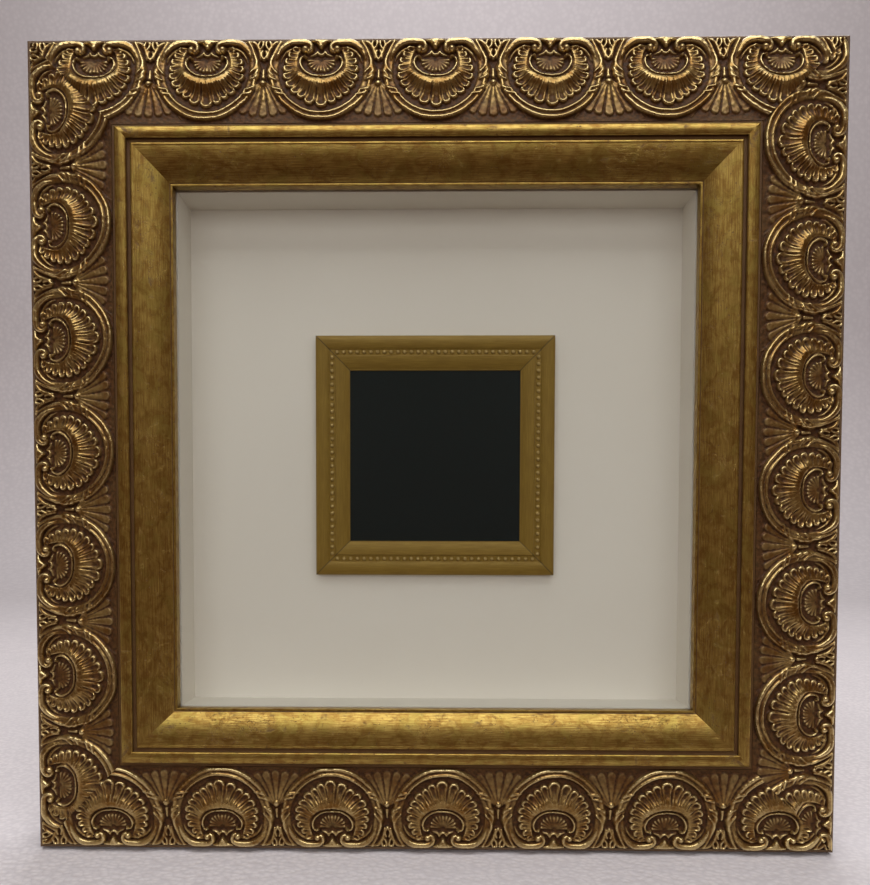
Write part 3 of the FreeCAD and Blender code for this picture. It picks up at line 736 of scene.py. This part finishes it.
def foam(name, base, shade):
    """White foam with tiny closed cells."""
    m = Tree(name)
    here = m.here()
    cells = m.put("TexVoronoi", {"Vector": here, "Scale": 1400.0}).outputs["Distance"]
    cloud = m.noise(here, 90.0, 3.0)
    colour = m.blend(m.span(cells, 0.1, 0.6), base, shade)
    m.feed(Base_Color=colour, Roughness=m.span(cloud, 0.3, 0.7, 0.75, 0.88),
           Normal=m.bump(cells, 0.00008, 0.6))
    return m.material


def clear_glass():
    """Float glass: see-through, with the faint mirror that Fresnel gives and a trace of dust."""
    m = Tree("clear_glass_pane")
    m.tree.nodes.remove(m.shader)
    here = m.here()
    dust = m.noise(here, 60.0, 4.0, 0.6)
    smear = m.noise(m.scaled(here, 1, 1, 3), 9.0, 3.0, 0.5)
    rough = m.math("ADD", m.span(smear, 0.3, 0.8, 0.0, 0.02), m.span(dust, 0.5, 0.9, 0.0, 0.02))
    mirror = m.put("BsdfGlossy", {"Color": (1, 1, 1, 1), "Roughness": rough})
    clear = m.put("BsdfTransparent", {"Color": (0.975, 0.982, 0.975, 1)})
    edge = m.put("Fresnel", {"IOR": 1.5}).outputs[0]
    mixed = m.put("MixShader", {0: m.math("MULTIPLY", edge, 0.55), 1: clear.outputs[0], 2: mirror.outputs[0]})
    m.tree.links.new(mixed.outputs[0], m.output.inputs["Surface"])
    return m.material


# ---- rails ----

def groove_depth(d, h, front, width):
    """How far each front point of a section lies below its neighbourhood, from 0 to 1."""
    grid = np.arange(0, d.max() + 0.05, 0.1)
    order = np.argsort(d[front], kind="stable")
    line = np.interp(grid, d[front][order], h[front][order])
    low = blur(line[None, :], width / 0.1)[0] - line
    return np.where(front, np.clip(np.interp(d, grid, low), 0, 1), 0)


def moulding(side, materials):
    """One length of the moulding: rim, channel, grooves, bead, slope and sight lip."""
    steps = [
        (CHANNEL_FROM, 0.0), (CHANNEL_FROM, BAND_OUTER_H - GROUND), (CHANNEL_TO, BAND_INNER_H - GROUND),
        (CHANNEL_TO, 5.2), (BEAD_FROM, 5.2), (BEAD_FROM, 7.1), ((35.35, 7.75), (36.1, 8.08)),
        ((37.4, BEAD_TOP), (38.7, 8.1)), ((39.22, 7.85), (BEAD_TO, 7.3)), (BEAD_TO, 6.3),
        (FILLET, 6.4), (FILLET, 6.95), ((41.2, 7.3), (41.9, 7.22)),
        ((48.6, 5.95), (54.1, 2.5)), (54.1, 2.9), (54.9, 2.9), (SIGHT_D, 2.7),
        (SIGHT_D, RABBET_H), (RABBET_D, RABBET_H), (RABBET_D, BACK_H), (0.0, BACK_H), (0.0, -0.5), (0.5, 0.0),
    ]
    ring = soften(outline(steps, 14), 0.16, 0.9)
    d, h = ring[:, 0], ring[:, 1]
    after_d, after_h = np.roll(d, -1), np.roll(h, -1)
    mid_d, mid_h = (d + after_d) / 2, (h + after_h) / 2
    # bare wood in the rabbet and on the back, and paint on the outer side and its rim
    kind = np.full(len(d), GILT)
    seat = (mid_h < RABBET_H + 0.1) & (mid_d > RABBET_D - 0.1) & (mid_d < SIGHT_D - 0.1)
    kind[(mid_h < RABBET_H - 0.05) | seat] = WOOD
    kind[(mid_d < CHANNEL_FROM + 0.05) & (mid_h > BACK_H + 0.1)] = PAINT
    front = (h > -1.5) & (d > CHANNEL_TO - 0.05)
    t = np.linspace(-1, 1, 121)
    s = t[:, None] * (HALF - d[None, :])
    seed = 101 + list(SIDES).index(side)
    wobble = np.where(front[None, :], 0.03 * ripple(seed, s, np.broadcast_to(d, s.shape), (14, 60)), 0.0)
    groove = groove_depth(d, h, front, 0.8)
    groove = np.where(front & (d < BEAD_FROM + 0.05) & (h < 7.3), 1.0, groove)
    groove = np.where(front & (d > BEAD_TO - 0.1) & (d < FILLET + 0.1) & (h < 6.7), 1.0, groove)
    obj = sweep(f"{side}_moulding", side, d, h[None, :] + wobble, t, HALF, FACE_Y, materials, kind,
                {"groove": groove[None, :]}, crease=50.0)
    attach(obj, "frame")
    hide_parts(f"{side}_rail")
    return obj


PEARL_PITCH, PEARL_RADIUS, PEARL_ROW, PEARLS = 2.68, 0.78, 6.45, 30     # the row's d, and pearls in it
PEARL_GROOVE = 1.9                                                      # h under the pearls


def small_rail(side, materials):
    """One length of the small moulding, with its row of pressed pearls."""
    steps = [
        (0.0, 0.0), (0.0, 2.2), ((2.6, 2.8), (5.2, 2.2)), (5.4, PEARL_GROOVE), (7.8, PEARL_GROOVE),
        (8.0, 2.5), ((10.9, 2.1), (13.1, 1.3)), (SMALL_RAIL, 1.3), (SMALL_RAIL, 0.9),
        (SMALL_RAIL - 2.0, 0.9), (SMALL_RAIL - 2.0, 0.0),
    ]
    ring = soften(outline(steps, 12), 0.10, 0.17)
    d, h = ring[:, 0], ring[:, 1]
    front = h > 0.95
    # extra columns close to each end carry the mitre's dark line
    inner = np.linspace(-1, 1, 561)[1:-1]
    t = np.concatenate([[-1, -0.9965], inner[np.abs(inner) < 0.993], [0.9965, 1]])
    s = t[:, None] * (SMALL_HALF - d[None, :])
    place_in_row = (s / PEARL_PITCH + PEARLS / 2) % 1.0 - 0.5
    r = np.hypot(place_in_row * PEARL_PITCH, d[None, :] - PEARL_ROW) / PEARL_RADIUS
    inside = (r < 1) & (np.abs(s) < PEARLS / 2 * PEARL_PITCH) & front[None, :] & (h[None, :] > 1.5)
    dome = np.where(inside, PEARL_RADIUS * np.sqrt(np.clip(1 - r * r, 0, 1)), 0.0)
    groove = np.broadcast_to(groove_depth(d, h, front, 0.7), s.shape) * 1.2
    groove = np.where(inside, 0, groove)
    groove = np.where(front[None, :] & (np.abs(t[:, None]) > 0.996), 1.0, groove)
    # painted highlight along the arris and over the pearls, passed to the shader as the high field
    arris = 0.35 * np.exp(-((d - 8.15) / 0.25) ** 2)
    high = np.clip(np.where(front[None, :], arris[None, :], 0) + dome / PEARL_RADIUS, 0, 1)
    kind = np.where((h + np.roll(h, -1)) / 2 < 0.05, WOOD, GILT)
    obj = sweep(f"small_{side}_moulding", side, d, h[None, :] + dome, t, SMALL_HALF, SMALL_BACK_Y, materials,
                kind, {"groove": np.clip(groove, 0, 1), "high": high}, crease=50.0)
    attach(obj, "frame")
    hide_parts(f"small_{side}_rail")
    return obj


# ---- build ----

gilt = gilt_moulding()
wood = bare_wood()
paint = painted_side()
shells = gilt_shells()
olive = small_gilt()

cell = blur(draw_shell(), 0.16 / CELL)        # pressed ornament has no sharp edges
for side in SIDES:
    moulding(side, [gilt, wood, paint])
    ornament(side, cell, [shells, wood])
    small_rail(side, [olive, wood])

finishes = {
    "glazing": clear_glass(),
    "mat_board": paper("mat_board_paper", (0.79, 0.745, 0.68, 1), (0.74, 0.69, 0.62, 1), 1300.0, 0.00003,
                       0.9),
    "foam_board": foam("foam_board_core", (0.80, 0.79, 0.76, 1), (0.62, 0.61, 0.58, 1)),
    "backing_board": hardboard(),
    "centre_panel": paper("centre_black_card", (0.0045, 0.0115, 0.0130, 1), (0.008, 0.0145, 0.0165, 1),
                          1700.0, 0.00001, 0.7, 0.15),
    "backing_card": paper("backing_grey_card", (0.32, 0.30, 0.26, 1), (0.24, 0.22, 0.19, 1)),
    "float_pads": foam("float_pad_foam", (0.76, 0.75, 0.72, 1), (0.58, 0.57, 0.54, 1)),
    "corner_v_nails": metal("v_nail_steel", (0.20, 0.21, 0.24, 1), (0.10, 0.09, 0.09, 1), 0.38),
    "turn_button_washers": paper("washer_fibre", (0.24, 0.055, 0.035, 1), (0.15, 0.03, 0.02, 1), 1800.0,
                                 0.00004, 0.6),
    "turn_button_screws": metal("screw_brass", (0.72, 0.50, 0.20, 1), (0.36, 0.23, 0.09, 1), 0.30),
    "hanger_screws": metal("hanger_screw_brass", (0.72, 0.50, 0.20, 1), (0.36, 0.23, 0.09, 1), 0.30),
    "wall_bumpers": rubber(),
}
spacer_paper = paper("spacer_white_board", (0.81, 0.77, 0.70, 1), (0.74, 0.70, 0.63, 1), 1200.0, 0.00003, 0.9)
zinc = metal("button_zinc_steel", (0.56, 0.55, 0.53, 1), (0.30, 0.29, 0.28, 1), 0.36)
nickel = metal("strap_nickel", (0.62, 0.59, 0.53, 1), (0.36, 0.33, 0.29, 1), 0.30, streak=(1, 1, 9))
wire = metal("ring_nickel_wire", (0.68, 0.65, 0.60, 1), (0.42, 0.39, 0.35, 1), 0.22)
for side in SIDES:
    finishes[f"{side}_spacer"] = spacer_paper
    finishes[f"{side}_turn_button"] = zinc
for side in ("left", "right"):
    finishes[f"{side}_hanger_strap"] = nickel
    finishes[f"{side}_hanger_ring"] = wire
for node, material in finishes.items():
    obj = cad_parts[node]
    obj.data.materials.clear()
    obj.data.materials.append(material)

# ---- stage, light and camera ----

FLOOR_HALF = 4.0                              # half of the floor's width; lengths here are in metres
FLOOR_FALL = math.tan(math.radians(2.3))      # the frame leans back on its rear edge
FLOOR_SPLIT = -0.15                           # the frame's gold mirrors only the floor behind this line
FLOOR_FRONT, FLOOR_BACK = -2.5, 0.9           # where the floor starts, and where it curves up
CURVE, WALL_TOP = 0.5, 2.6                    # radius of the curve into the backdrop, and its top


def studio():
    """A pale floor that curves up into a pale backdrop well behind the frame, with painted shade darkening
    the backdrop.
    """
    m = Tree("studio_card")
    here = m.here()
    apart = m.put("SeparateXYZ", {0: here}).outputs[1]
    behind = m.span(apart, 0.1, 0.9)
    coarse = m.put("TexVoronoi", {"Vector": here, "Scale": 120.0}).outputs["Distance"]
    fine = m.put("TexVoronoi", {"Vector": here, "Scale": 420.0}).outputs["Distance"]
    beads = m.math("ADD", m.math("MULTIPLY", coarse, behind),
                   m.math("MULTIPLY", fine, m.math("SUBTRACT", 1.0, behind)))
    cloud = m.noise(here, 9.0, 4.0, 0.6)
    colour = m.blend(m.span(beads, 0.15, 0.75), rgb(226, 219, 222), rgb(212, 205, 209))
    colour = m.blend(m.share(cloud, 0.35, 0.65, 0.4), colour, rgb(210, 204, 208))
    # painted shade: the backdrop is painted darker than the floor, for the lesser light on an upright wall
    colour = m.blend(m.math("MULTIPLY", behind, 0.55), colour, rgb(186, 180, 184))
    m.feed(Base_Color=colour, Roughness=m.span(beads, 0.1, 0.7, 0.75, 0.9), Normal=m.bump(beads, 0.0008, 0.3))
    near = [(FLOOR_FRONT, 0.0), (FLOOR_SPLIT, 0.0)]
    profile = [(FLOOR_SPLIT, 0.0), (FLOOR_BACK, 0.0)]
    for angle in np.radians(np.arange(6, 91, 6)):
        profile.append((FLOOR_BACK + CURVE * math.sin(angle), CURVE - CURVE * math.cos(angle)))
    profile.append((FLOOR_BACK + CURVE, WALL_TOP))
    for name, line in (("studio_floor_near", near), ("studio_floor", profile)):
        points, faces = [], []
        for y, z in line:
            fall = FLOOR_FALL * (y - rail_high.y)
            points += [(-FLOOR_HALF, y, z + fall), (FLOOR_HALF, y, z + fall)]
        for i in range(len(line) - 1):
            faces.append([2 * i, 2 * i + 1, 2 * i + 3, 2 * i + 2])
        obj = build_mesh(name, points, faces, [m.material])
        obj.visible_diffuse = False
        obj.visible_glossy = name == "studio_floor"


studio()


def soft_light(name, location, target, width, height, power, colour=(1, 1, 1)):
    """A rectangular light in metres and watts, facing its target."""
    data = bpy.data.lights.new(name, "AREA")
    data.shape = "RECTANGLE"
    data.size, data.size_y = width, height
    data.energy = power
    data.color = colour
    obj = bpy.data.objects.new(name, data)
    obj.location = location
    obj.rotation_euler = (Vector(target) - Vector(location)).to_track_quat("-Z", "Y").to_euler()
    bpy.context.scene.collection.objects.link(obj)
    return obj


middle = Vector((0, 0, CENTRE_Z))


def from_front(elevation, swing, distance):
    """A place in front of the frame, by its height and its turn to the right, in degrees."""
    e, a = math.radians(elevation), math.radians(swing)
    return middle + distance * Vector((math.sin(a) * math.cos(e), -math.cos(a) * math.cos(e), math.sin(e)))


soft_light("key_ceiling", from_front(55, 1, 1.5), middle, 1.5, 1.05, 15.5, (0.98, 1.0, 1.0))
# the fills light the mat and its side walls, and the gold doesn't mirror them
fills = (("fill_front", 0, 2.2, 3.0, 18), ("fill_left", -55, 1.6, 0.8, 3.1),
         ("fill_right", 55, 1.6, 0.8, 3.1))
for name, swing, distance, width, power in fills:
    fill = soft_light(name, from_front(9, swing, distance), middle, width, 1.0, power)
    fill.visible_glossy = False
soft_light("back_light", (0.2, 0.75, 1.25), (0, 0.02, 0.16), 1.2, 0.5, 7.2)
soft_light("backdrop_light", (0, 0.55, 1.7), (0, 1.4, 0.9), 0.8, 0.4, 7.3)

# the air round the stage is warm and dark low down, and lighter and greyer overhead
world = bpy.data.worlds.new("studio_air")
bpy.context.scene.world = world
world.use_nodes = True
tree = world.node_tree
air = tree.nodes["Background"]
air.inputs["Strength"].default_value = 1.0
height = tree.nodes.new("ShaderNodeSeparateXYZ")
tree.links.new(tree.nodes.new("ShaderNodeTexCoord").outputs["Generated"], height.inputs[0])
shade = tree.nodes.new("ShaderNodeValToRGB")
stops = ((0.0, (0.06, 0.042, 0.030)), (0.46, (0.104, 0.040, 0.014)), (0.60, (0.122, 0.068, 0.035)),
         (1.0, (0.26, 0.25, 0.24)))
while len(shade.color_ramp.elements) < len(stops):
    shade.color_ramp.elements.new(0.5)
for element, (position, colour) in zip(shade.color_ramp.elements, stops):
    element.position = position
    element.color = (*colour, 1)
half_up = tree.nodes.new("ShaderNodeMath")
half_up.operation = "MULTIPLY_ADD"
half_up.inputs[1].default_value = half_up.inputs[2].default_value = 0.5
tree.links.new(height.outputs[2], half_up.inputs[0])
tree.links.new(half_up.outputs[0], shade.inputs[0])
tree.links.new(shade.outputs[0], air.inputs["Color"])

# The camera stands 320 mm in front of the frame, turned and tipped a little off square.
FOCAL, IMAGE = 850.0, (870, 885)              # focal length and image size, in pixels
PRINCIPAL = (425.92, 574.61)                  # the image point straight ahead of the camera
TIP, TURN, ROLL = (math.radians(a) for a in (2.297, -0.885, 0.119))
OFFSET = Vector((3.317, 320.647, 46.474))     # the frame's middle from the camera: right, away and up, in mm
tip = Matrix(((1, 0, 0), (0, math.cos(TIP), -math.sin(TIP)), (0, math.sin(TIP), math.cos(TIP))))
turn = Matrix(((math.cos(TURN), -math.sin(TURN), 0), (math.sin(TURN), math.cos(TURN), 0), (0, 0, 1)))
roll = Matrix(((math.cos(ROLL), 0, math.sin(ROLL)), (0, 1, 0), (-math.sin(ROLL), 0, math.cos(ROLL))))
world_to_camera = roll @ tip @ turn
right, away, up = (Vector(row) for row in world_to_camera)
eye = -(world_to_camera.transposed() @ OFFSET) * MM + Vector((0, FACE_Y, CENTRE_Z))
camera_data = bpy.data.cameras.new("camera")
camera = bpy.data.objects.new("camera", camera_data)
bpy.context.scene.collection.objects.link(camera)
camera_data.sensor_width = 36.0
camera_data.lens = FOCAL / max(IMAGE) * camera_data.sensor_width
camera_data.shift_x = (IMAGE[0] / 2 - PRINCIPAL[0]) / max(IMAGE)
camera_data.shift_y = (PRINCIPAL[1] - IMAGE[1] / 2) / max(IMAGE)
camera_data.clip_start = 0.01
camera.matrix_world = Matrix((
    (right.x, up.x, -away.x, eye.x),
    (right.y, up.y, -away.y, eye.y),
    (right.z, up.z, -away.z, eye.z),
    (0, 0, 0, 1),
))
bpy.context.scene.camera = camera

view = bpy.context.scene.view_settings
view.view_transform = "Standard"
view.look = "None"
view.exposure = 0.0
